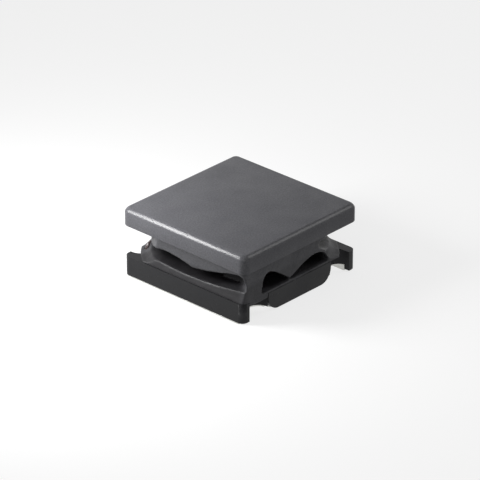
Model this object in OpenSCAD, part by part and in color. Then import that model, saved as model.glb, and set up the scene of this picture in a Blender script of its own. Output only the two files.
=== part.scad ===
// Shielded surface-mount power inductor, 4.0 x 4.0 x 1.8 mm.
// A ferrite drum core carries a wire winding round its post. A magnetic resin coat fills the
// space between the two square flanges and shields the winding. The two wire ends run down
// side channels into grooves under the lower flange, where solder joins them to the terminals.
// Origin: middle of the seat plane. +X runs from one terminal to the other, +Z is up.
// The part is the same after half a turn about Z.

/* [Drum core] */
// Length of both flanges from one terminal end to the other
core_x = 4.0; // [3.9:0.05:4.4]
// Width of the top flange
top_y = 4.0; // [3.9:0.05:4.4]
// Width of the bottom flange
bottom_y = 3.88; // [3.85:0.01:3.95]
// Thickness of the top flange
top_t = 0.47; // [0.35:0.01:0.7]
// Thickness of the bottom flange
bottom_t = 0.50; // [0.45:0.01:0.8]
// Clear height between the flanges
window_h = 0.80; // [0.7:0.02:1.2]
// Diameter of the centre post
post_d = 1.80; // [1.6:0.05:2.0]
// Corner radius of the top flange seen from above
top_corner_r = 0.20; // [0.15:0.01:0.3]
// Corner radius of the bottom flange seen from above
bottom_corner_r = 0.16; // [0.08:0.01:0.2]
// Radius of the rounded upper edge of the top flange
top_edge_r = 0.12; // [0.05:0.01:0.14]

/* [Wire channels and grooves] */
// Distance from the middle of the part to the middle of a side channel
channel_x = 1.43; // [1.4:0.01:1.5]
// Radius of the round back of a side channel
channel_r = 0.33; // [0.28:0.01:0.36]
// Depth of a side channel from the flange's side
channel_depth = 0.36; // [0.3:0.01:0.4]
// Depth of the groove under the bottom flange
groove_depth = 0.13; // [0.11:0.01:0.16]
// Half width of the flat middle pad between the two grooves
pad_half = 0.75; // [0.6:0.01:0.8]
// Radius of the pad's rounded sides
pad_r = 0.35; // [0.3:0.01:0.38]

/* [Winding] */
// Diameter of the enamelled wire
wire_d = 0.12; // [0.1:0.01:0.13]
// Number of turns in one layer
layer_turns = 6; // [4:1:6]
// Number of layers
layers = 5; // [3:1:5]
// Gap between the post and the first layer
post_gap = 0.02; // [0.01:0.01:0.04]
// Radius of the bends in the wire ends
lead_bend = 0.12; // [0.09:0.01:0.14]
// Length of wire that lies in each groove
lead_lie = 2.2; // [1.6:0.1:2.4]

/* [Resin coat] */
// Distance of the coat from the edges of the bottom flange
coat_inset = 0.01; // [0:0.01:0.05]
// Radius of the coat round the two bare corners
coat_r = 2.13; // [2.05:0.01:2.25]
// Radius of the fillet at the coat's foot
coat_fillet = 0.26; // [0.15:0.01:0.35]
// Thickness of the coat at the rim of its foot
coat_rim = 0.02; // [0.01:0.005:0.04]
// Depth of the hollow that shrinkage leaves in the coat's end faces
sag_depth = 0.10; // [0.05:0.01:0.14]

/* [Openings in the side faces] */
// Distance from the end face to the tall arch
pillar_w = 0.67; // [0.6:0.01:0.7]
// Least thickness of the coat between two openings
pillar_wall = 0.12; // [0.08:0.01:0.15]
// Height of the lower edge above the bottom flange
side_sill_h = 0.05; // [0.03:0.01:0.1]
// Width of the tall arch
side_tall_w = 1.00; // [0.8:0.02:1.1]
// Height of the tall arch
side_tall_h = 0.48; // [0.4:0.01:0.54]
// Width of the low arch
side_low_w = 1.40; // [1.2:0.02:1.44]
// Height of the low arch
side_low_h = 0.34; // [0.25:0.01:0.36]
// Height of the foot between the two arches
side_foot_h = 0.05; // [0.02:0.01:0.1]
// Distance from the middle of the part to the blunt end of the corner opening
corner_open_x = 0.66; // [0.62:0.01:0.8]
// Height of the blunt end of the corner opening above the bottom flange
corner_open_z = 0.61; // [0.56:0.01:0.62]
// Drop of the corner opening towards the corner
corner_open_drop = 0.42; // [0.36:0.01:0.44]

/* [Slots in the end faces] */
// Height of the lower edge above the bottom flange, at its lowest place
end_sill_h = 0.145; // [0.1:0.005:0.18]
// Rise of the lower edge, in millimetres at one millimetre from its lowest place
end_sill_rise = 0.045; // [0.03:0.005:0.06]
// Width of the tall part of the slot
end_tall_w = 1.75; // [1.6:0.05:1.9]
// Height of the tall part of the slot
end_tall_h = 0.40; // [0.3:0.01:0.42]
// Width of the low part of the slot
end_low_w = 1.65; // [1.5:0.05:1.75]
// Height of the low part of the slot
end_low_h = 0.23; // [0.15:0.01:0.28]
// Height of the sagging edge between the two parts
end_foot_h = 0.205; // [0.12:0.005:0.25]
// Width of the bite that the slot takes out of the corner pillar's side face
pillar_bite = 0.13; // [0.08:0.01:0.16]

/* [Terminals] */
// Thickness of a terminal
terminal_t = 0.03; // [0.02:0.005:0.04]
// Width of a terminal along X
terminal_w = 1.15; // [1.05:0.01:1.2]
// Length of a terminal along Y
terminal_l = 3.60; // [3.2:0.05:3.65]
// Distance from the terminal's inner edge to the solder
solder_inset = 0.12; // [0.1:0.01:0.16]
// Distance from the ends of the wire in the groove to the ends of the solder
solder_over = 0.12; // [0.08:0.01:0.2]

/* [Hidden] */
$fn = 96;
eps = 0.05;

// Heights, all measured from the seat plane
bottom_z = terminal_t;
window_z0 = bottom_z + bottom_t;
window_z1 = window_z0 + window_h;

// Radii and heights of the winding
wire_r = wire_d / 2;
layer_step = wire_d * sqrt(3) / 2;
coil_r0 = post_d / 2 + post_gap;
coil_r1 = coil_r0 + wire_d + (layers - 1) * layer_step;
coil_h = layer_turns * wire_d;
coil_z0 = window_z0 + (window_h - coil_h) / 2;
wire_sides = 12;
// Angle either side of a turn's crest at which it meets the furrow beside it
turn_open = 72;

// Side channels: the middle of the round back, measured from the part's middle
channel_y = bottom_y / 2 - channel_depth + channel_r;
groove_outer = channel_x + channel_r;
groove_top = bottom_z + groove_depth;

// The wire ends bend round the edge between a channel's back and the lining of a groove
lead_y = channel_y - channel_r + lead_bend;
lead_z = groove_top - terminal_t - wire_r;
joint_lap = 0.02;
// Turns of the winding, counted from its foot, at which the two wire ends leave it
right_lead_turn = 4.3;
left_lead_turn = 2.3;

// Skews of the arches: the share along an arch where it is tallest is 0.5 to the power 1/skew
side_tall_skew = 0.486;
side_low_skew = 0.66;
end_tall_skew = 0.314;
end_low_skew = 0.8;
corner_skew = 0.6;
// Half heights of the corner opening at its widest place and where it runs out
corner_half = 0.15;
corner_end_half = 0.04;
// Points along each edge of an opening
steps = 16;

// ---------- shared shapes ----------

// A square plate with rounded corners, from z0 to z1
module rounded_plate(x, y, z0, z1, r) {
    translate([0, 0, z0]) {
        translate([-x / 2, -y / 2 + r, 0]) cube([x, y - 2 * r, z1 - z0]);
        translate([-x / 2 + r, -y / 2, 0]) cube([x - 2 * r, y, z1 - z0]);
        for (sx = [-1, 1], sy = [-1, 1])
            translate([sx * (x / 2 - r), sy * (y / 2 - r), 0]) cylinder(r = r, h = z1 - z0);
    }
}

// Repeats its children after half a turn about Z
module both_halves() {
    children();
    rotate([0, 0, 180]) children();
}

// ---------- drum core ----------

// Edge of the top flange: a strip as wide as the corner radius with its upper corner rounded
module edge_profile() {
    square([top_corner_r, top_t - top_edge_r]);
    square([top_corner_r - top_edge_r, top_t]);
    translate([top_corner_r - top_edge_r, top_t - top_edge_r]) intersection() {
        circle(r = top_edge_r);
        square(top_edge_r);
    }
}

// The edge profile carried along a straight side of the given length
module edge_run(length) {
    rotate([90, 0, 0]) linear_extrude(height = length, center = true) edge_profile();
}

module top_flange() {
    inner_x = core_x / 2 - top_corner_r;
    inner_y = top_y / 2 - top_corner_r;
    translate([0, 0, window_z1]) {
        translate([-inner_x, -inner_y, 0]) cube([2 * inner_x, 2 * inner_y, top_t]);
        both_halves() {
            translate([inner_x, 0, 0]) edge_run(2 * inner_y);
            translate([0, inner_y, 0]) rotate([0, 0, 90]) edge_run(2 * inner_x);
            translate([inner_x, inner_y, 0]) rotate_extrude(angle = 90) edge_profile();
            translate([-inner_x, inner_y, 0]) rotate([0, 0, 90])
                rotate_extrude(angle = 90) edge_profile();
        }
    }
}

// One side channel, open to the flange's side and through its whole thickness
module side_channel() {
    translate([channel_x, channel_y, 0]) {
        cylinder(r = channel_r, h = window_z0 + eps);
        translate([-channel_r, 0, 0]) cube([2 * channel_r, channel_depth + eps, window_z0 + eps]);
    }
}

// The space beside the rounded side of the middle pad, up to the given height
module beside_pad(inset, length, height) {
    translate([pad_half, -length / 2, -eps]) difference() {
        cube([pad_r, length, height + eps]);
        translate([0, -eps, eps + bottom_z + pad_r]) rotate([-90, 0, 0])
            cylinder(r = pad_r + inset, h = length + 2 * eps);
    }
}

// The groove under the bottom flange. The inset leaves room for a lining of that thickness
module groove_space(inset, length) {
    reach = pad_half + sqrt(pow(pad_r, 2) - pow(pad_r - groove_depth, 2));
    beside_pad(inset, length, groove_top - inset);
    translate([reach, -length / 2, -eps])
        cube([groove_outer - inset - reach, length, groove_top - inset + eps]);
}

module bottom_flange() {
    difference() {
        rounded_plate(core_x, bottom_y, bottom_z, window_z0, bottom_corner_r);
        both_halves() {
            groove_space(0, bottom_y + 2 * eps);
            side_channel();
            mirror([0, 1, 0]) side_channel();
            for (side = [-1, 1]) translate([0, side * channel_y, 0])
                beside_pad(0, 2 * channel_r, bottom_z + pad_r);
        }
    }
}

module drum_core() {
    color([0.30, 0.30, 0.31]) union() {
        top_flange();
        bottom_flange();
        translate([0, 0, window_z0 - eps]) cylinder(d = post_d, h = window_h + 2 * eps);
    }
}

// ---------- winding ----------

// Section of the coil: solid, with the turns of the outermost layer standing out of it
module coil_section() {
    centre = wire_r + (layers - 1) * layer_step;
    polygon(concat(
        [[0, coil_h], [0, 0], [centre, 0]],
        [for (turn = [0 : layer_turns - 1], step = [-2 : 2])
            [centre + wire_r * cos(step * turn_open / 2),
             wire_r + turn * wire_d + wire_r * sin(step * turn_open / 2)]],
        [[centre, coil_h]]
    ));
}

module coil() {
    translate([0, 0, coil_z0]) rotate_extrude() translate([coil_r0, 0]) coil_section();
}

// A straight length of wire along +X from the origin
module wire_run(length) {
    rotate([0, 90, 0]) cylinder(r = wire_r, h = length, $fn = wire_sides);
}

// A quarter bend of wire that starts along +X and ends along -Z
module wire_bend() {
    translate([0, 0, -lead_bend]) rotate([90, 0, 0])
        rotate_extrude(angle = 90) translate([lead_bend, 0])
            circle(r = wire_r, $fn = wire_sides);
}

// One wire end: off the coil, down the channel at (channel_x, lead_y) and along the groove
module lead(height) {
    leave_r = coil_r1 - 1.5 * wire_r;
    far = norm([channel_x, lead_y]);
    leave = atan2(lead_y, channel_x) + acos(leave_r / far);
    run = sqrt(far * far - leave_r * leave_r) - lead_bend;
    rotate([0, 0, leave]) translate([leave_r, 0, height]) rotate([0, 0, -90]) {
        wire_run(run);
        translate([run, 0, 0]) wire_bend();
    }
    // The drop is a hair thicker than the bends, so that it closes over their ends
    translate([channel_x, lead_y, lead_z + lead_bend - joint_lap])
        cylinder(r = wire_r + joint_lap / 4, h = height - lead_z - 2 * (lead_bend - joint_lap));
    translate([channel_x, lead_y - lead_bend, lead_z]) rotate([0, 0, 90]) {
        mirror([0, 0, 1]) wire_bend();
        mirror([1, 0, 0]) wire_run(lead_lie);
    }
}

// Both wire ends leave on the same side of the part, one above the other where they cross
module leads() {
    lead(coil_z0 + right_lead_turn * wire_d);
    mirror([1, 0, 0]) lead(coil_z0 + left_lead_turn * wire_d);
}

module winding() {
    color([0.55, 0.30, 0.16]) union() {
        coil();
        leads();
    }
}

// ---------- resin coat ----------

// Half section of the coat round the bare corners, with a concave fillet at its foot
module round_section() {
    square([coat_r, window_h]);
    difference() {
        square([coat_r + coat_fillet, coat_fillet + coat_rim]);
        translate([coat_r + coat_fillet, coat_fillet + coat_rim]) circle(r = coat_fillet);
    }
}

// The coat before its openings: round at two corners and filled to the flange at the others
module coat_body() {
    intersection() {
        rounded_plate(core_x - 2 * coat_inset, bottom_y - 2 * coat_inset, window_z0, window_z1,
                      bottom_corner_r);
        translate([0, 0, window_z0]) {
            rotate_extrude() round_section();
            both_halves() cube([core_x, top_y, window_h]);
        }
    }
}

// Height of an opening's top edge at place u, from 0 at its steep end to 1 at the foot. The
// skew sets how close to the steep end the arch is tallest
function arch(u, height, foot, skew) = foot * u + height * sin(180 * pow(u, skew));

// The place of x0 towards x1 at share u
function between(x0, x1, u) = x0 + u * (x1 - x0);

// An opening as seen from outside: a tall arch from x0 and a low one from x1 meet at a foot
// above one sill, which is flat or, with a rise, dished
module opening(x0, foot_x, x1, tall, low, foot, tall_skew, low_skew, sill_rise) {
    rise = function(x) sill_rise * x * x;
    tall_edge = [for (i = [0 : steps]) let (u = i / steps, x = between(x0, foot_x, u))
        [x, rise(x) + arch(u, tall, foot, tall_skew)]];
    low_edge = [for (i = [steps - 1 : -1 : 0]) let (u = i / steps, x = between(x1, foot_x, u))
        [x, rise(x) + arch(u, low, foot, low_skew)]];
    sill = [for (i = [steps - 1 : -1 : 1]) let (x = between(x0, x1, i / steps)) [x, rise(x)]];
    polygon(concat(tall_edge, low_edge, sill));
}

// Carries a drawing on the side face at -Y inwards until it bares the winding
module cut_from_side() {
    translate([0, -coil_r0, window_z0]) rotate([90, 0, 0])
        linear_extrude(height = top_y / 2 - coil_r0 + eps) children();
}

// Opening in the side face at -Y
module side_opening() {
    x0 = -core_x / 2 + pillar_w;
    cut_from_side() translate([0, side_sill_h])
        opening(x0, x0 + side_tall_w, x0 + side_tall_w + side_low_w, side_tall_h, side_low_h,
                side_foot_h, side_tall_skew, side_low_skew, 0);
}

// Comma-shaped opening where the side face at -Y turns to the bare corner. It is blunt and
// wide at first and runs out as a narrow slit
module corner_opening() {
    width = core_x / 2 - corner_open_x;
    half = function(u) corner_half * sin(180 * pow(u, corner_skew)) + corner_end_half * u;
    middle = function(u) corner_open_z - corner_open_drop * u;
    upper = [for (i = [0 : steps]) let (u = i / steps)
        [corner_open_x + width * u, middle(u) + half(u)]];
    lower = [for (i = [steps : -1 : 1]) let (u = i / steps)
        [corner_open_x + width * u, middle(u) - half(u)]];
    cut_from_side() polygon(concat(upper, lower));
}

// Plan of the slot behind the end face at -X. It takes a bite out of the corner pillar
module slot_plan() {
    face = -core_x / 2;
    side = -bottom_y / 2;
    back = face + pillar_w - pillar_wall;
    polygon([[face - eps, side - eps], [face + pillar_bite, side - eps],
             [face + pillar_bite, side], [back, side + pillar_w - pillar_bite],
             [back, pillar_wall - coil_r0], [-coil_r0, pillar_wall - coil_r0],
             [-coil_r0, top_y / 2], [face - eps, top_y / 2]]);
}

// Slot in the end face at -X, from the corner pillar round to the bare corner
module end_slot() {
    y0 = -bottom_y / 2 - eps / 2;
    intersection() {
        translate([-core_x / 2 - eps, 0, window_z0 + end_sill_h]) rotate([90, 0, 90])
            linear_extrude(height = core_x / 2 - coil_r0 + eps)
                opening(y0, y0 + end_tall_w, y0 + end_tall_w + end_low_w, end_tall_h, end_low_h,
                        end_foot_h, end_tall_skew, end_low_skew, end_sill_rise);
        translate([0, 0, window_z0]) linear_extrude(height = window_h) slot_plan();
    }
}

// Shallow hollow all along the end face at -X
module end_sag() {
    half = window_h / 2 + eps;
    sag_r = (pow(half, 2) + pow(sag_depth, 2)) / (2 * sag_depth);
    translate([-core_x / 2 + coat_inset + sag_depth - sag_r, 0, window_z0 + window_h / 2])
        rotate([90, 0, 0]) cylinder(r = sag_r, h = top_y, center = true);
}

module resin_coat() {
    color([0.20, 0.20, 0.21]) difference() {
        coat_body();
        translate([0, 0, window_z0 - eps]) cylinder(r = coil_r1, h = window_h + 2 * eps);
        leads();
        both_halves() {
            side_opening();
            corner_opening();
            end_slot();
            end_sag();
        }
    }
}

// ---------- terminals and solder ----------

// Right terminal: one thin layer over the leg, the groove's walls and the pad's rounded side
module right_terminal() {
    inner = core_x / 2 - terminal_w;
    color([0.80, 0.80, 0.82]) difference() {
        intersection() {
            union() {
                translate([groove_outer - terminal_t, -terminal_l / 2, 0])
                    cube([core_x / 2 - groove_outer + terminal_t, terminal_l, terminal_t]);
                groove_space(0, terminal_l);
            }
            translate([inner, -terminal_l / 2, 0]) cube([terminal_w, terminal_l, groove_top]);
        }
        groove_space(terminal_t, terminal_l + 2 * eps);
        for (side = [0, 1]) mirror([0, side, 0]) side_channel();
    }
}

module left_terminal() {
    rotate([0, 0, 180]) right_terminal();
}

// Solder that fills the lined groove round the wire, level with the terminal
module right_solder() {
    start = lead_y - lead_bend - lead_lie;
    color([0.72, 0.73, 0.75]) difference() {
        intersection() {
            groove_space(terminal_t, terminal_l);
            translate([core_x / 2 - terminal_w + solder_inset, start - solder_over, 0])
                cube([terminal_w, lead_lie - channel_r + solder_over, groove_top]);
        }
        leads();
    }
}

module left_solder() {
    mirror([1, 0, 0]) right_solder();
}

drum_core();
winding();
resin_coat();
left_terminal();
right_terminal();
left_solder();
right_solder();
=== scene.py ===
import math

import bmesh
import bpy
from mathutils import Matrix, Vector


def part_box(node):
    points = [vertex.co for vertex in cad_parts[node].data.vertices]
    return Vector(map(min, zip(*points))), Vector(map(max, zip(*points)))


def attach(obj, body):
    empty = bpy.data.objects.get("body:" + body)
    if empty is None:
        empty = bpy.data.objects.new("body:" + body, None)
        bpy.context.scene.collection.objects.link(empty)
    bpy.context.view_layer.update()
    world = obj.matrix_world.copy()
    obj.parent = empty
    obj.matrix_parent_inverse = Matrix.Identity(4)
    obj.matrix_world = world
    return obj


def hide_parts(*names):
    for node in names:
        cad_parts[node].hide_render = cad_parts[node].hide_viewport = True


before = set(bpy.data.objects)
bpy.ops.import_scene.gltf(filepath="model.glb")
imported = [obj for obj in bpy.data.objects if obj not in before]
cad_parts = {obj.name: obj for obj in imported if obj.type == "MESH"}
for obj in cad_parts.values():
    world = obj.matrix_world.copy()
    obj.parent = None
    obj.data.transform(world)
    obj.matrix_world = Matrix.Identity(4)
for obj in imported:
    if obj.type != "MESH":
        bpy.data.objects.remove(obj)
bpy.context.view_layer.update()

# ---------------------------------------------------------------- sizes
# The pieces are modelled in millimetres and brought to metres as the last step of each.
MM = 0.001


def node_box(node):
    """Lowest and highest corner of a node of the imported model, in millimetres."""
    low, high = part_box(node)
    return low / MM, high / MM


core_low, core_high = node_box("drum_core")
coat_low, coat_high = node_box("resin_coat")
land_low, land_high = node_box("right_terminal")
solder_low, solder_high = node_box("right_solder")

HALF = core_high.x
SEAT = core_low.z
TOP = core_high.z
WINDOW_LOW = coat_low.z
WINDOW_HIGH = coat_high.z
COAT_INSET = 0.01                    # how far the coat's sides stand back from the lower flange's
HALF_Y = coat_high.y + COAT_INSET    # the lower flange is a little narrower than the upper

TOP_CORNER_R = 0.20
TOP_EDGE_R = 0.12                    # rounding between the top and the sides
TOP_FOOT_R = 0.015                   # rounding of the upper flange's lower edges
BOTTOM_CORNER_R = 0.16
BOTTOM_EDGE_R = 0.018                # rounding of the lower flange's sharp edges
SHARP = math.radians(35)             # an edge that turns less than this isn't rounded
POST_R = 0.90

CHANNEL_X = 1.43
CHANNEL_R = 0.33
CHANNEL_DEPTH = 0.36
CHANNEL_Y = HALF_Y - CHANNEL_DEPTH + CHANNEL_R
GROOVE_OUTER = CHANNEL_X + CHANNEL_R
GROOVE_DEPTH = 0.13
GROOVE_TOP = SEAT + GROOVE_DEPTH
PAD_HALF = 0.75
PAD_R = 0.35

WIRE_R = 0.06
TURNS = 6
LAYERS = 5
COIL_INNER_R = POST_R + 0.02
COIL_R = COIL_INNER_R + 2 * WIRE_R + (LAYERS - 1) * WIRE_R * math.sqrt(3)
COIL_LOW = (WINDOW_LOW + WINDOW_HIGH) / 2 - TURNS * WIRE_R
COIL_BODY_R = COIL_R - 1.35 * WIRE_R  # the inner layers, as one body under the outer turns
LEAVE_R = COIL_R - 1.5 * WIRE_R      # where a wire end leaves the coil
RIGHT_LEAD_TURN = 4.3                # turns from the coil's foot up to the right wire end
LEFT_LEAD_TURN = 1.0                 # up to the left one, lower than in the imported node
NODE_LEFT_LEAD_TURN = 2.3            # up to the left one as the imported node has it
LEAD_BEND = 0.12
LEAD_LIE = 2.2
LEAD_Y = CHANNEL_Y - CHANNEL_R + LEAD_BEND
TERMINAL_T = SEAT
TERMINAL_EDGE_R = 0.008
LEAD_Z = GROOVE_TOP - TERMINAL_T - WIRE_R

COAT_R = 2.13                        # radius of the coat round the two bare corners
COAT_VOXEL = 0.026
SPARE = 0.08                         # extra height that is trimmed off after smoothing
SWELL_WIDTH = 0.35                   # width of one swelling of the cured resin
SWELL_HEIGHT = 0.018
PATCH_LAP = 0.02                     # how far the patch in the coat laps its hole
PATCH_INSET = 0.01                   # and how far it lies under the coat's face
PLUG_LOW = 0.41                      # foot of the resin in the head of a channel
PLUG_LAP = 0.02                      # how far that resin reaches into the channel's walls
PLUG_RISE = 0.05                     # and how far up into the coat
SOLDER_VOXEL = 0.015

PAST = 0.1                           # how far a cutting tool passes the face that it cuts
FAR_PAST = 0.2                       # the same where it cuts in from a side


# ---------------------------------------------------------------- modelling helpers
def deselect_all():
    if bpy.context.mode != "OBJECT":
        bpy.ops.object.mode_set(mode="OBJECT")
    bpy.ops.object.select_all(action="DESELECT")


def only(obj):
    deselect_all()
    obj.select_set(True)
    bpy.context.view_layer.objects.active = obj


def place_into_mesh(obj):
    only(obj)
    bpy.ops.object.transform_apply(location=True, rotation=True, scale=True)
    return obj


def block(low, high):
    """A box between two corners."""
    deselect_all()
    middle = [(a + b) / 2 for a, b in zip(low, high)]
    bpy.ops.mesh.primitive_cube_add(size=1, location=middle)
    obj = bpy.context.object
    obj.scale = [b - a for a, b in zip(low, high)]
    return place_into_mesh(obj)


def rod(radius, start, end, axis="Z", at=(0, 0), sides=96):
    """A cylinder along Z or Y from start to end. at gives its two other coordinates."""
    deselect_all()
    middle = (start + end) / 2
    place = {"Z": (at[0], at[1], middle), "Y": (at[0], middle, at[1])}[axis]
    turn = {"Z": (0, 0, 0), "Y": (math.pi / 2, 0, 0)}[axis]
    bpy.ops.mesh.primitive_cylinder_add(vertices=sides, radius=radius, depth=end - start,
                                        location=place, rotation=turn)
    return place_into_mesh(bpy.context.object)


def apply_modifier(obj, kind, **settings):
    only(obj)
    bpy.ops.object.modifier_add(type=kind)
    modifier = obj.modifiers[-1]
    for key, value in settings.items():
        setattr(modifier, key, value)
    bpy.ops.object.modifier_apply(modifier=modifier.name)


def combine(obj, tool, operation):
    """Changes a piece by a tool, which is used up."""
    apply_modifier(obj, "BOOLEAN", operation=operation, solver="EXACT", object=tool)
    bpy.data.objects.remove(tool)
    return obj


def cut(obj, tool):
    return combine(obj, tool, "DIFFERENCE")


def add(obj, tool):
    return combine(obj, tool, "UNION")


def half_turn(obj):
    """A copy of a piece after half a turn about Z, with its own mesh."""
    only(obj)
    bpy.ops.object.duplicate(linked=False)
    copy = bpy.context.object
    copy.rotation_euler = (0, 0, math.pi)
    return place_into_mesh(copy)


def mirrored(obj):
    """A copy of a piece mirrored from +X to -X, with its faces turned outwards again."""
    only(obj)
    bpy.ops.object.duplicate(linked=False)
    copy = bpy.context.object
    copy.scale.x = -1
    place_into_mesh(copy)
    bpy.ops.object.mode_set(mode="EDIT")
    bpy.ops.mesh.select_all(action="SELECT")
    bpy.ops.mesh.normals_make_consistent(inside=False)
    bpy.ops.object.mode_set(mode="OBJECT")
    return copy


def round_edges(obj, is_wanted, radius, segments, profile=0.5):
    """Bevels the edges whose two ends pass a test. A profile of 0.5 is round, 0.25 flat."""
    only(obj)
    bpy.ops.object.mode_set(mode="EDIT")
    bpy.ops.mesh.select_mode(type="EDGE")
    bpy.ops.mesh.select_all(action="DESELECT")
    mesh = bmesh.from_edit_mesh(obj.data)
    for edge in mesh.edges:
        edge.select_set(is_wanted(edge.verts[0].co, edge.verts[1].co))
    bmesh.update_edit_mesh(obj.data)
    bpy.ops.mesh.bevel(offset=radius, segments=segments, profile=profile, affect="EDGES")
    bpy.ops.object.mode_set(mode="OBJECT")


def is_upright(a, b):
    """Whether an edge between two points stands straight up."""
    return abs(a.z - b.z) > 0.01 and (a.xy - b.xy).length < 1e-4


def at_height(z):
    """A test for the level edges at a height."""
    return lambda a, b: abs(a.z - z) < 1e-4 and abs(b.z - z) < 1e-4


def finish_piece(obj, name, material, nodes, angle=30):
    """Brings a piece to metres and hands it over in place of the nodes it stands for."""
    obj.name = name
    obj.data.name = name
    obj.scale = (MM, MM, MM)
    place_into_mesh(obj)
    bpy.ops.object.shade_smooth_by_angle(angle=math.radians(angle))
    obj.data.materials.clear()
    obj.data.materials.append(material)
    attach(obj, "root")
    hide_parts(*nodes)


# ---------------------------------------------------------------- materials
# painted shade: this colour is laid on the resin inside the openings and at its foot, where shade
# falls
RESIN_PAINTED_SHADE = "#161517"              # tone of the resin inside the openings and at its foot


def linear(colour):
    """An sRGB hex colour as linear RGBA."""
    parts = [int(colour[i:i + 2], 16) / 255 for i in (1, 3, 5)]
    return [p / 12.92 if p <= 0.04045 else ((p + 0.055) / 1.055) ** 2.4 for p in parts] + [1]


def new_material(name):
    material = bpy.data.materials.new(name)
    material.use_nodes = True
    material.node_tree.nodes.clear()
    return material


def node(material, kind, links=None, values=None, **settings):
    """Adds one node. links gives an input its source (node, output name), values a constant."""
    made = material.node_tree.nodes.new(kind)
    for key, value in settings.items():
        setattr(made, key, value)
    for socket, value in (values or {}).items():
        made.inputs[socket].default_value = value
    for socket, (source, output) in (links or {}).items():
        material.node_tree.links.new(source.outputs[output], made.inputs[socket])
    return made


def per_metre(size_mm):
    """Scale of a noise whose features are about this many millimetres across."""
    return 1 / (size_mm * MM)


# Nickel-zinc ferrite, pressed, sintered and tumbled: a dense grey ceramic with a fine open
# grain, a dull sheen on its faces and a brighter polished rounding along its top edge. The
# lower flange is coloured darker than the upper one as painted shade, for the lower parts
# that get less light. A film of resin on it would explain that tone, but this is a guess.
def ferrite_material():
    m = new_material("ferrite_sintered_tumbled")
    coords = node(m, "ShaderNodeTexCoord")
    # sintered grain, drawn at 40 micrometres because the real 5 to 10 is too fine to show
    grain = node(m, "ShaderNodeTexNoise", {"Vector": (coords, "Object")},
                 {"Scale": per_metre(0.040), "Detail": 3.0, "Roughness": 0.6})
    # slow cloudiness of the sheen, about half a millimetre across
    cloud = node(m, "ShaderNodeTexNoise", {"Vector": (coords, "Object")},
                 {"Scale": per_metre(0.55), "Detail": 4.0, "Roughness": 0.55})
    # scattered pits where grains broke out, 60 micrometres across and 140 apart
    pits = node(m, "ShaderNodeTexVoronoi", {"Vector": (coords, "Object")},
                {"Scale": per_metre(0.14)})
    pit_mask = node(m, "ShaderNodeMapRange", {"Value": (pits, "Distance")},
                    {"From Min": 0.05, "From Max": 0.20, "To Min": 0.0, "To Max": 1.0})
    split = node(m, "ShaderNodeSeparateXYZ", {"Vector": (coords, "Object")})
    # 0 on the lower flange, 1 on the upper one: the mask of the painted shade on the lower flange
    upper = node(m, "ShaderNodeMapRange", {"Value": (split, "Z")},
                 {"From Min": WINDOW_LOW * MM, "From Max": WINDOW_HIGH * MM})
    # 1 on the rounding between the top and the sides, which tumbling has polished. The
    # polish is full between two depths under the top, and it stops just short of the top
    full_high, full_low, stop = 0.010, 0.08, 0.001
    rim_foot = node(m, "ShaderNodeMapRange", {"Value": (split, "Z")},
                    {"From Min": (TOP - TOP_EDGE_R) * MM, "From Max": (TOP - full_low) * MM})
    rim_head = node(m, "ShaderNodeMapRange", {"Value": (split, "Z")},
                    {"From Min": (TOP - stop) * MM, "From Max": (TOP - full_high) * MM})
    rim = node(m, "ShaderNodeMath", {0: (rim_foot, "Result"), 1: (rim_head, "Result")},
               operation="MULTIPLY")
    tone = node(m, "ShaderNodeValToRGB", {"Fac": (grain, "Fac")})
    tone.color_ramp.elements[0].position = 0.32
    tone.color_ramp.elements[0].color = linear("#4A4A4D")
    tone.color_ramp.elements[1].position = 0.70
    tone.color_ramp.elements[1].color = linear("#5C5C60")
    # painted shade: the lower flange takes a much darker colour than the upper one
    painted_flange_shade = node(m, "ShaderNodeMix", {"Factor": (upper, "Result"), "B": (tone, "Color")},
                  data_type="RGBA")
    painted_flange_shade.inputs["A"].default_value = linear("#161618")
    clouded = node(m, "ShaderNodeMix", {"Factor": (cloud, "Fac"), "A": (painted_flange_shade, "Result")},
                   data_type="RGBA", blend_type="MULTIPLY")
    clouded.inputs["B"].default_value = linear("#E2E2E4")
    rough = node(m, "ShaderNodeMapRange", {"Value": (cloud, "Fac")},
                 {"From Min": 0.3, "From Max": 0.7, "To Min": 0.44, "To Max": 0.54})
    polished = node(m, "ShaderNodeMix", {"Factor": (rim, "Value"), "A": (rough, "Result")},
                    {"B": 0.24}, data_type="FLOAT")
    bump = node(m, "ShaderNodeBump", {"Height": (grain, "Fac")},
                {"Strength": 0.35, "Distance": 0.004 * MM})
    pitted = node(m, "ShaderNodeBump", {"Height": (pit_mask, "Result"), "Normal": (bump, "Normal")},
                  {"Strength": 0.5, "Distance": 0.006 * MM})
    shader = node(m, "ShaderNodeBsdfPrincipled",
                  {"Base Color": (clouded, "Result"), "Roughness": (polished, "Result"),
                   "Normal": (pitted, "Normal")},
                  {"IOR": 1.5, "Specular IOR Level": 0.25})
    node(m, "ShaderNodeOutputMaterial", {"Surface": (shader, "BSDF")})
    return m
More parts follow.
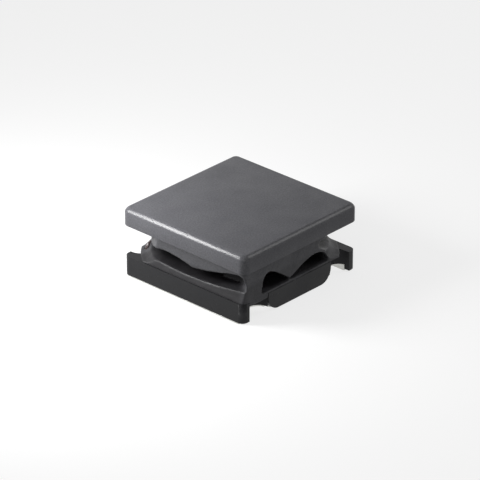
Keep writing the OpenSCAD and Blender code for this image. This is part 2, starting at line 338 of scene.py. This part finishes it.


# Magnetic epoxy, iron powder in black resin, cast and cured: charcoal, satin, slightly
# lumpy, with a fine sparkle-free grain of powder. Its colour carries painted shade by place:
# grey on the outer faces, darker towards the foot and nearly black inside the openings.
def resin_material():
    m = new_material("magnetic_epoxy_cast")
    coords = node(m, "ShaderNodeTexCoord")
    # powder grain, drawn at 50 micrometres because the real 10 to 30 is too fine to show
    powder = node(m, "ShaderNodeTexNoise", {"Vector": (coords, "Object")},
                  {"Scale": per_metre(0.050), "Detail": 3.0, "Roughness": 0.65})
    # slow change of the sheen, as the resin flowed
    flow = node(m, "ShaderNodeTexNoise", {"Vector": (coords, "Object")},
                {"Scale": per_metre(0.60), "Detail": 3.0})
    tone = node(m, "ShaderNodeValToRGB", {"Fac": (powder, "Fac")})
    tone.color_ramp.elements[0].position = 0.30
    tone.color_ramp.elements[0].color = linear("#3C3C3F")
    tone.color_ramp.elements[1].position = 0.72
    tone.color_ramp.elements[1].color = linear("#4E4E51")
    # 1 on the outer faces and 0 on the walls inside the openings, by depth under the flush
    # sides and under the round of the bare corners. Where it is 0 the colour is painted shade.
    flush_dark, flush_grey = 0.20, 0.12
    round_dark, round_grey = 0.15, 0.05
    split = node(m, "ShaderNodeSeparateXYZ", {"Vector": (coords, "Object")})
    side_x = node(m, "ShaderNodeMath", {0: (split, "X")}, operation="ABSOLUTE")
    side_y = node(m, "ShaderNodeMath", {0: (split, "Y")}, operation="ABSOLUTE")
    round_x = node(m, "ShaderNodeMath", {0: (split, "X"), 1: (split, "X")}, operation="MULTIPLY")
    round_y = node(m, "ShaderNodeMath", {0: (split, "Y"), 1: (split, "Y")}, operation="MULTIPLY")
    squares = node(m, "ShaderNodeMath", {0: (round_x, "Value"), 1: (round_y, "Value")},
                   operation="ADD")
    radius = node(m, "ShaderNodeMath", {0: (squares, "Value")}, operation="SQRT")
    square = node(m, "ShaderNodeMath", {0: (side_x, "Value"), 1: (side_y, "Value")},
                  operation="MAXIMUM")
    on_square = node(m, "ShaderNodeMapRange", {"Value": (square, "Value")},
                     {"From Min": (HALF - flush_dark) * MM,
                      "From Max": (HALF - flush_grey) * MM})
    on_round = node(m, "ShaderNodeMapRange", {"Value": (radius, "Value")},
                    {"From Min": (COAT_R - round_dark) * MM,
                     "From Max": (COAT_R - round_grey) * MM})
    outside = node(m, "ShaderNodeMath", {0: (on_square, "Result"), 1: (on_round, "Result")},
                   operation="MAXIMUM")
    painted_opening_shade = node(m, "ShaderNodeMix", {"Factor": (outside, "Value"), "B": (tone, "Color")},
                data_type="RGBA")
    painted_opening_shade.inputs["A"].default_value = linear(RESIN_PAINTED_SHADE)
    # painted shade: the coat is palest above and darker towards its foot, most of all on the end
    # faces, where X outweighs Y
    dark_to, pale_from = 0.22, 0.50
    upper = node(m, "ShaderNodeMapRange", {"Value": (split, "Z")},
                 {"From Min": (WINDOW_LOW + dark_to) * MM,
                  "From Max": (WINDOW_LOW + pale_from) * MM})
    lean = node(m, "ShaderNodeMath", {0: (side_x, "Value"), 1: (side_y, "Value")},
                operation="SUBTRACT")
    foot = node(m, "ShaderNodeMapRange", {"Value": (lean, "Value")},
                {"From Min": 0.02 * MM, "From Max": 0.20 * MM, "To Min": 0.55, "To Max": 0.10})
    pale = node(m, "ShaderNodeMath", {0: (upper, "Result"), 1: (foot, "Result")},
                operation="MAXIMUM")
    shade = node(m, "ShaderNodeMix", {"Factor": (pale, "Value"), "B": (painted_opening_shade, "Result")},
                 data_type="RGBA")
    shade.inputs["A"].default_value = linear(RESIN_PAINTED_SHADE)
    rough = node(m, "ShaderNodeMapRange", {"Value": (flow, "Fac")},
                 {"From Min": 0.3, "From Max": 0.7, "To Min": 0.45, "To Max": 0.60})
    bump = node(m, "ShaderNodeBump", {"Height": (powder, "Fac")},
                {"Strength": 0.5, "Distance": 0.006 * MM})
    shader = node(m, "ShaderNodeBsdfPrincipled",
                  {"Base Color": (shade, "Result"), "Roughness": (rough, "Result"),
                   "Normal": (bump, "Normal")},
                  {"IOR": 1.5, "Specular IOR Level": 0.25})
    node(m, "ShaderNodeOutputMaterial", {"Surface": (shader, "BSDF")})
    return m


# Round copper wire in polyurethane enamel: brown-black, as if the dark resin had wetted it,
# with a soft gloss.
def wire_material():
    m = new_material("copper_wire_enamelled")
    coords = node(m, "ShaderNodeTexCoord")
    film = node(m, "ShaderNodeTexNoise", {"Vector": (coords, "Object")},
                {"Scale": per_metre(0.30), "Detail": 3.0})
    tone = node(m, "ShaderNodeValToRGB", {"Fac": (film, "Fac")})
    tone.color_ramp.elements[0].position = 0.35
    tone.color_ramp.elements[0].color = linear("#2A2326")
    tone.color_ramp.elements[1].position = 0.75
    tone.color_ramp.elements[1].color = linear("#3C2C29")
    shader = node(m, "ShaderNodeBsdfPrincipled", {"Base Color": (tone, "Color")},
                  {"Roughness": 0.38, "IOR": 1.5, "Coat Weight": 0.3, "Coat Roughness": 0.2})
    node(m, "ShaderNodeOutputMaterial", {"Surface": (shader, "BSDF")})
    return m


# Fired silver under matt tin plating: pale grey metal with a fine orange-peel.
def plating_material():
    m = new_material("tin_plating_matt")
    coords = node(m, "ShaderNodeTexCoord")
    # tin grain, 40 micrometres
    grain = node(m, "ShaderNodeTexNoise", {"Vector": (coords, "Object")},
                 {"Scale": per_metre(0.04), "Detail": 2.0})
    bump = node(m, "ShaderNodeBump", {"Height": (grain, "Fac")},
                {"Strength": 0.35, "Distance": 0.003 * MM})
    rough = node(m, "ShaderNodeMapRange", {"Value": (grain, "Fac")},
                 {"From Min": 0.3, "From Max": 0.7, "To Min": 0.34, "To Max": 0.46})
    shader = node(m, "ShaderNodeBsdfPrincipled",
                  {"Roughness": (rough, "Result"), "Normal": (bump, "Normal")},
                  {"Metallic": 1.0})
    shader.inputs["Base Color"].default_value = linear("#C4C4C0")
    node(m, "ShaderNodeOutputMaterial", {"Surface": (shader, "BSDF")})
    return m


# Lead-free solder, melted and frozen: bright grey metal with soft dendritic frosting.
def solder_material():
    m = new_material("solder_lead_free")
    coords = node(m, "ShaderNodeTexCoord")
    # frosting patches, a tenth of a millimetre
    frost = node(m, "ShaderNodeTexVoronoi", {"Vector": (coords, "Object")},
                 {"Scale": per_metre(0.10)})
    rough = node(m, "ShaderNodeMapRange", {"Value": (frost, "Distance")},
                 {"From Min": 0.0, "From Max": 0.8, "To Min": 0.20, "To Max": 0.36})
    bump = node(m, "ShaderNodeBump", {"Height": (frost, "Distance")},
                {"Strength": 0.25, "Distance": 0.004 * MM})
    shader = node(m, "ShaderNodeBsdfPrincipled",
                  {"Roughness": (rough, "Result"), "Normal": (bump, "Normal")},
                  {"Metallic": 1.0})
    shader.inputs["Base Color"].default_value = linear("#CBCCCE")
    node(m, "ShaderNodeOutputMaterial", {"Surface": (shader, "BSDF")})
    return m


ferrite = ferrite_material()
resin = resin_material()
enamel = wire_material()
plating = plating_material()
solder = solder_material()


# ---------------------------------------------------------------- shared cutters
def side_channel(y_side):
    """Space of one upright wire channel of the lower flange, at +X."""
    reach = y_side * (HALF_Y + FAR_PAST)
    tool = rod(CHANNEL_R, SEAT - PAST, WINDOW_LOW + PAST,
               at=(CHANNEL_X, y_side * CHANNEL_Y), sides=64)
    low_y, high_y = sorted((y_side * CHANNEL_Y, reach))
    mouth = block((CHANNEL_X - CHANNEL_R, low_y, SEAT - PAST),
                  (CHANNEL_X + CHANNEL_R, high_y, WINDOW_LOW + PAST))
    return add(tool, mouth)


def beside_pad(inset, low_y, high_y, height):
    """Space beside the rounded side of the middle pad, at +X."""
    tool = block((PAD_HALF, low_y, -PAST), (PAD_HALF + PAD_R, high_y, height))
    return cut(tool, rod(PAD_R + inset, low_y - PAST, high_y + PAST, axis="Y",
                         at=(PAD_HALF, SEAT + PAD_R)))


def groove(inset, low_y, high_y):
    """Space of the groove under the lower flange, at +X."""
    lap = 0.02
    reach = PAD_HALF + math.sqrt(PAD_R ** 2 - (PAD_R - (GROOVE_TOP - SEAT)) ** 2)
    tool = beside_pad(inset, low_y, high_y, GROOVE_TOP - inset)
    return add(tool, block((reach - lap, low_y, -PAST),
                           (GROOVE_OUTER - inset, high_y, GROOVE_TOP - inset)))


# ---------------------------------------------------------------- drum core
def make_drum_core():
    top = block((-HALF, -HALF, WINDOW_HIGH), (HALF, HALF, TOP))
    round_edges(top, is_upright, TOP_CORNER_R, 10)
    round_edges(top, at_height(TOP), TOP_EDGE_R, 8, profile=0.38)
    round_edges(top, at_height(WINDOW_HIGH), TOP_FOOT_R, 2)

    bottom = block((-HALF, -HALF_Y, SEAT), (HALF, HALF_Y, WINDOW_LOW))
    round_edges(bottom, is_upright, BOTTOM_CORNER_R, 8)
    far = HALF_Y + FAR_PAST
    tools = [side_channel(-1), side_channel(1), groove(0, -far, far),
             beside_pad(0, -far, -(CHANNEL_Y - CHANNEL_R), SEAT + PAD_R),
             beside_pad(0, CHANNEL_Y - CHANNEL_R, far, SEAT + PAD_R)]
    for tool in tools:
        cut(bottom, half_turn(tool))
        cut(bottom, tool)
    apply_modifier(bottom, "BEVEL", width=BOTTOM_EDGE_R, segments=3, limit_method="ANGLE",
                   angle_limit=SHARP)

    sunk = 0.05                      # how far the post reaches into each flange
    add(bottom, rod(POST_R, WINDOW_LOW - sunk, WINDOW_HIGH + sunk))
    add(bottom, top)
    apply_modifier(bottom, "WEIGHTED_NORMAL", keep_sharp=True)
    finish_piece(bottom, "ferrite_drum_core", ferrite, ["drum_core"])


# ---------------------------------------------------------------- winding
def wire_tube(points, name, radius=WIRE_R):
    """A round wire along a line of points, closed at both ends."""
    deselect_all()
    curve = bpy.data.curves.new(name, "CURVE")
    curve.dimensions = "3D"
    curve.bevel_depth = radius
    curve.bevel_resolution = 4
    curve.use_fill_caps = True
    spline = curve.splines.new("POLY")
    spline.points.add(len(points) - 1)
    for target, point in zip(spline.points, points):
        target.co = (*point, 1)
    obj = bpy.data.objects.new(name, curve)
    bpy.context.scene.collection.objects.link(obj)
    only(obj)
    bpy.ops.object.convert(target="MESH")
    return bpy.context.object


def turn_height(turn):
    """Height of a turn of the coil, counted from the coil's foot."""
    return COIL_LOW + turn * 2 * WIRE_R


RUN_STEPS = 6                        # steps along the straight run from coil to channel
BEND_STEPS = 8                       # steps round each bend


def lead_points(height, side):
    """One wire end: off the coil, down its channel and along its groove. side is 1 at +X
    and -1 at -X."""
    far = math.hypot(CHANNEL_X, LEAD_Y)
    leave = math.atan2(LEAD_Y, CHANNEL_X) + math.acos(LEAVE_R / far)
    run = math.sqrt(far ** 2 - LEAVE_R ** 2) - LEAD_BEND
    along = Vector((math.sin(leave), -math.cos(leave), 0))
    start = Vector((LEAVE_R * math.cos(leave), LEAVE_R * math.sin(leave), height))
    points = [start + along * run * i / RUN_STEPS for i in range(RUN_STEPS)]
    for i in range(BEND_STEPS + 1):
        t = math.radians(90) * i / BEND_STEPS
        points.append(start + along * (run + LEAD_BEND * math.sin(t))
                      - Vector((0, 0, LEAD_BEND * (1 - math.cos(t)))))
    for i in range(BEND_STEPS + 1):
        t = math.radians(90) * i / BEND_STEPS
        points.append(Vector((CHANNEL_X, LEAD_Y - LEAD_BEND * (1 - math.cos(t)),
                              LEAD_Z + LEAD_BEND * (1 - math.sin(t)))))
    points.append(Vector((CHANNEL_X, LEAD_Y - LEAD_BEND - LEAD_LIE, LEAD_Z)))
    return [Vector((side * p.x, p.y, p.z)) for p in points]


def outer_helix():
    """The outermost layer, one turn above another."""
    radius = COIL_R - WIRE_R
    steps = 72
    return [Vector((radius * math.cos(2 * math.pi * i / steps),
                    radius * math.sin(2 * math.pi * i / steps),
                    COIL_LOW + WIRE_R + 2 * WIRE_R * i / steps))
            for i in range((TURNS - 1) * steps + 1)]


def make_winding():
    pieces = [wire_tube(outer_helix(), "outer_layer"),
              wire_tube(lead_points(turn_height(RIGHT_LEAD_TURN), 1), "right_lead"),
              wire_tube(lead_points(turn_height(LEFT_LEAD_TURN), -1), "left_lead")]
    coil_high = turn_height(TURNS)
    body = rod(COIL_BODY_R, COIL_LOW, coil_high)
    cut(body, rod(COIL_INNER_R, COIL_LOW - PAST, coil_high + PAST))
    only(body)
    for piece in pieces:
        piece.select_set(True)
    bpy.ops.object.join()
    finish_piece(body, "enamelled_winding", enamel, ["winding"], 50)


# ---------------------------------------------------------------- resin coat
def copy_of_node(name):
    """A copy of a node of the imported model, in millimetres, with its triangles joined up."""
    obj = bpy.data.objects.new(name + "_copy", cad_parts[name].data.copy())
    bpy.context.scene.collection.objects.link(obj)
    obj.scale = (1 / MM, 1 / MM, 1 / MM)
    place_into_mesh(obj)
    bpy.ops.object.mode_set(mode="EDIT")
    bpy.ops.mesh.select_all(action="SELECT")
    bpy.ops.mesh.remove_doubles(threshold=1e-4)
    bpy.ops.object.mode_set(mode="OBJECT")
    return obj


def lengthen_end(obj, height, step):
    """Carries the flat end face at a height on by a step, up or down."""
    only(obj)
    bpy.ops.object.mode_set(mode="EDIT")
    bpy.ops.mesh.select_mode(type="FACE")
    bpy.ops.mesh.select_all(action="DESELECT")
    mesh = bmesh.from_edit_mesh(obj.data)
    for face in mesh.faces:
        face.select_set(all(abs(v.co.z - height) < 1e-4 for v in face.verts))
    bmesh.update_edit_mesh(obj.data)
    bpy.ops.mesh.extrude_region_move(TRANSFORM_OT_translate={"value": (0, 0, step)})
    bpy.ops.object.mode_set(mode="OBJECT")


def trim_end(obj, height, normal_z):
    """Cuts off what lies past a height and closes the cut."""
    only(obj)
    bpy.ops.object.mode_set(mode="EDIT")
    bpy.ops.mesh.select_all(action="SELECT")
    bpy.ops.mesh.bisect(plane_co=(0, 0, height), plane_no=(0, 0, normal_z), use_fill=True,
                        clear_outer=True)
    bpy.ops.object.mode_set(mode="OBJECT")


def make_resin_coat():
    body = copy_of_node("resin_coat")
    lengthen_end(body, WINDOW_LOW, -SPARE)
    lengthen_end(body, WINDOW_HIGH, SPARE)
    # the left wire end leaves lower here than in the node, whose coat has a hole for it
    # higher up: that hole is closed
    node_path = lead_points(turn_height(NODE_LEFT_LEAD_TURN), -1)
    patch = wire_tube([node_path[0], node_path[RUN_STEPS]], "patch", WIRE_R + PATCH_LAP)
    combine(patch, rod(COAT_R - PATCH_INSET, WINDOW_LOW, WINDOW_HIGH, sides=192),
            "INTERSECT")
    cut(patch, rod(COIL_R, WINDOW_LOW - PAST, WINDOW_HIGH + PAST, sides=192))
    add(body, patch)
    # the resin that ran down from each corner pillar into the head of its channel
    plug = rod(CHANNEL_R + PLUG_LAP, PLUG_LOW, WINDOW_LOW + PLUG_RISE,
               at=(-CHANNEL_X, -CHANNEL_Y), sides=64)
    add(plug, block((-CHANNEL_X - CHANNEL_R - PLUG_LAP, -HALF_Y + COAT_INSET, PLUG_LOW),
                    (-CHANNEL_X + CHANNEL_R + PLUG_LAP, -CHANNEL_Y, WINDOW_LOW + PLUG_RISE)))
    plug_inset = 0.05                # how far it stands back from the end face
    combine(plug, block((-HALF + plug_inset, -HALF_Y + COAT_INSET, 0), (0, 0, 1)),
            "INTERSECT")
    # cured resin has no sharp edges: a fine even mesh, eased and gently swollen. The middle
    # level is above a half, so that the faces sink a little more than they swell
    ease = {"factor": 0.5, "iterations": 6}
    apply_modifier(body, "REMESH", mode="VOXEL", voxel_size=COAT_VOXEL)
    apply_modifier(body, "SMOOTH", **ease)
    swell = bpy.data.textures.new("resin_swell", "CLOUDS")
    swell.noise_scale = SWELL_WIDTH
    apply_modifier(body, "DISPLACE", texture=swell, texture_coords="LOCAL",
                   strength=SWELL_HEIGHT, mid_level=0.62)
    trim_end(body, WINDOW_LOW, -1)
    trim_end(body, WINDOW_HIGH, 1)
    apply_modifier(plug, "REMESH", mode="VOXEL", voxel_size=COAT_VOXEL)
    apply_modifier(plug, "SMOOTH", **ease)
    far_plug = half_turn(plug)
    only(body)
    plug.select_set(True)
    far_plug.select_set(True)
    bpy.ops.object.join()
    finish_piece(body, "cast_resin_coat", resin, ["resin_coat"], 60)


# ---------------------------------------------------------------- terminals and solder
def make_right_terminal():
    half_y = land_high.y
    body = groove(0, -half_y, half_y)
    add(body, block((GROOVE_OUTER - TERMINAL_T, -half_y, 0), (HALF, half_y, TERMINAL_T)))
    limits = block((land_low.x, -half_y, 0), (HALF, half_y, GROOVE_TOP))
    combine(body, limits, "INTERSECT")
    cut(body, groove(TERMINAL_T, -half_y - PAST, half_y + PAST))
    for y_side in (-1, 1):
        cut(body, side_channel(y_side))
    apply_modifier(body, "BEVEL", width=TERMINAL_EDGE_R, segments=2, limit_method="ANGLE",
                   angle_limit=SHARP)
    apply_modifier(body, "WEIGHTED_NORMAL", keep_sharp=True)
    return body


def make_right_solder():
    body = groove(TERMINAL_T, -land_high.y, land_high.y)
    limits = block((solder_low.x, solder_low.y, 0), (solder_high.x, solder_high.y, 1))
    combine(body, limits, "INTERSECT")
    apply_modifier(body, "REMESH", mode="VOXEL", voxel_size=SOLDER_VOXEL)
    apply_modifier(body, "SMOOTH", factor=0.5, iterations=10)
    return body


make_drum_core()
make_winding()
make_resin_coat()

right_land = make_right_terminal()
left_land = half_turn(right_land)
finish_piece(right_land, "right_plated_land", plating, ["right_terminal"])
finish_piece(left_land, "left_plated_land", plating, ["left_terminal"])

right_fill = make_right_solder()
left_fill = mirrored(right_fill)
finish_piece(right_fill, "right_solder_fill", solder, ["right_solder"], 60)
finish_piece(left_fill, "left_solder_fill", solder, ["left_solder"], 60)


# ---------------------------------------------------------------- floor, light and camera
def background_rays(m):
    """1 for rays that see the background directly, in a reflection or through glass."""
    path = node(m, "ShaderNodeLightPath")
    seen = node(m, "ShaderNodeMath", {0: (path, "Is Camera Ray"), 1: (path, "Is Glossy Ray")},
                operation="MAXIMUM")
    return node(m, "ShaderNodeMath", {0: (seen, "Value"), 1: (path, "Is Transmission Ray")},
                operation="MAXIMUM")


def make_floor():
    """Pale paper, 3 m square. Its glow is seen by the camera and in reflections only."""
    tone, glow = 0.3, 0.74
    deselect_all()
    bpy.ops.mesh.primitive_plane_add(size=3, location=(0, 0, 0))
    floor = bpy.context.object
    floor.name = "floor"
    m = new_material("studio_paper")
    seen = background_rays(m)
    shader = node(m, "ShaderNodeBsdfPrincipled", {"Emission Strength": (seen, "Value")},
                  {"Roughness": 1.0, "Specular IOR Level": 0.0})
    shader.inputs["Base Color"].default_value = (tone, tone, tone, 1)
    shader.inputs["Emission Color"].default_value = (glow, glow, glow, 1)
    node(m, "ShaderNodeOutputMaterial", {"Surface": (shader, "BSDF")})
    floor.data.materials.append(m)


def make_world():
    """A white surround that lights the part softly and looks white itself."""
    soft_light, white = 0.27, 1.0
    world = bpy.data.worlds.new("soft_studio")
    world.use_nodes = True
    world.node_tree.nodes.clear()
    bpy.context.scene.world = world
    seen = background_rays(world)
    strength = node(world, "ShaderNodeMapRange", {"Value": (seen, "Value")},
                    {"To Min": soft_light, "To Max": white})
    back = node(world, "ShaderNodeBackground", {"Strength": (strength, "Result")})
    back.inputs["Color"].default_value = (1, 1, 1, 1)
    node(world, "ShaderNodeOutputWorld", {"Surface": (back, "Background")})


def softbox(name, direction, distance, size, light):
    """A square lamp that looks at the part, with its distance and size in metres. light is
    the irradiance that it gives, where pi makes a facing surface render in its own colour."""
    data = bpy.data.lights.new(name, "AREA")
    data.shape = "SQUARE"
    data.size = size
    data.energy = light * math.pi * distance ** 2
    lamp = bpy.data.objects.new(name, data)
    bpy.context.scene.collection.objects.link(lamp)
    towards = Vector(direction).normalized()
    lamp.location = towards * distance
    lamp.rotation_euler = towards.to_track_quat("Z", "Y").to_euler()
    lamp.visible_camera = False


def make_camera():
    """A long lens, aimed a little below the middle of the part's height."""
    azimuth, elevation = math.radians(-47.2), math.radians(27.15)
    distance, aim = 0.0981, Vector((0, 0, 0.847 * MM))
    back = Vector((math.sin(azimuth) * math.cos(elevation),
                   -math.cos(azimuth) * math.cos(elevation), math.sin(elevation)))
    data = bpy.data.cameras.new("camera")
    data.lens = 307.3
    data.sensor_width = 36
    data.clip_start = 0.01
    data.clip_end = 10
    camera = bpy.data.objects.new("camera", data)
    bpy.context.scene.collection.objects.link(camera)
    camera.location = aim + back * distance
    camera.rotation_euler = back.to_track_quat("Z", "Y").to_euler()
    bpy.context.scene.camera = camera


make_floor()
make_world()
softbox("key_softbox", (-6.5, 5.0, 6.0), distance=0.0102, size=0.004, light=4.6)
softbox("edge_softbox", (0.653, -0.456, 0.605), distance=0.25, size=0.08, light=0.35)
softbox("fill_softbox", (-0.75, -0.55, 0.45), distance=0.25, size=0.20, light=0.25)
make_camera()
bpy.context.scene.view_settings.view_transform = "Standard"
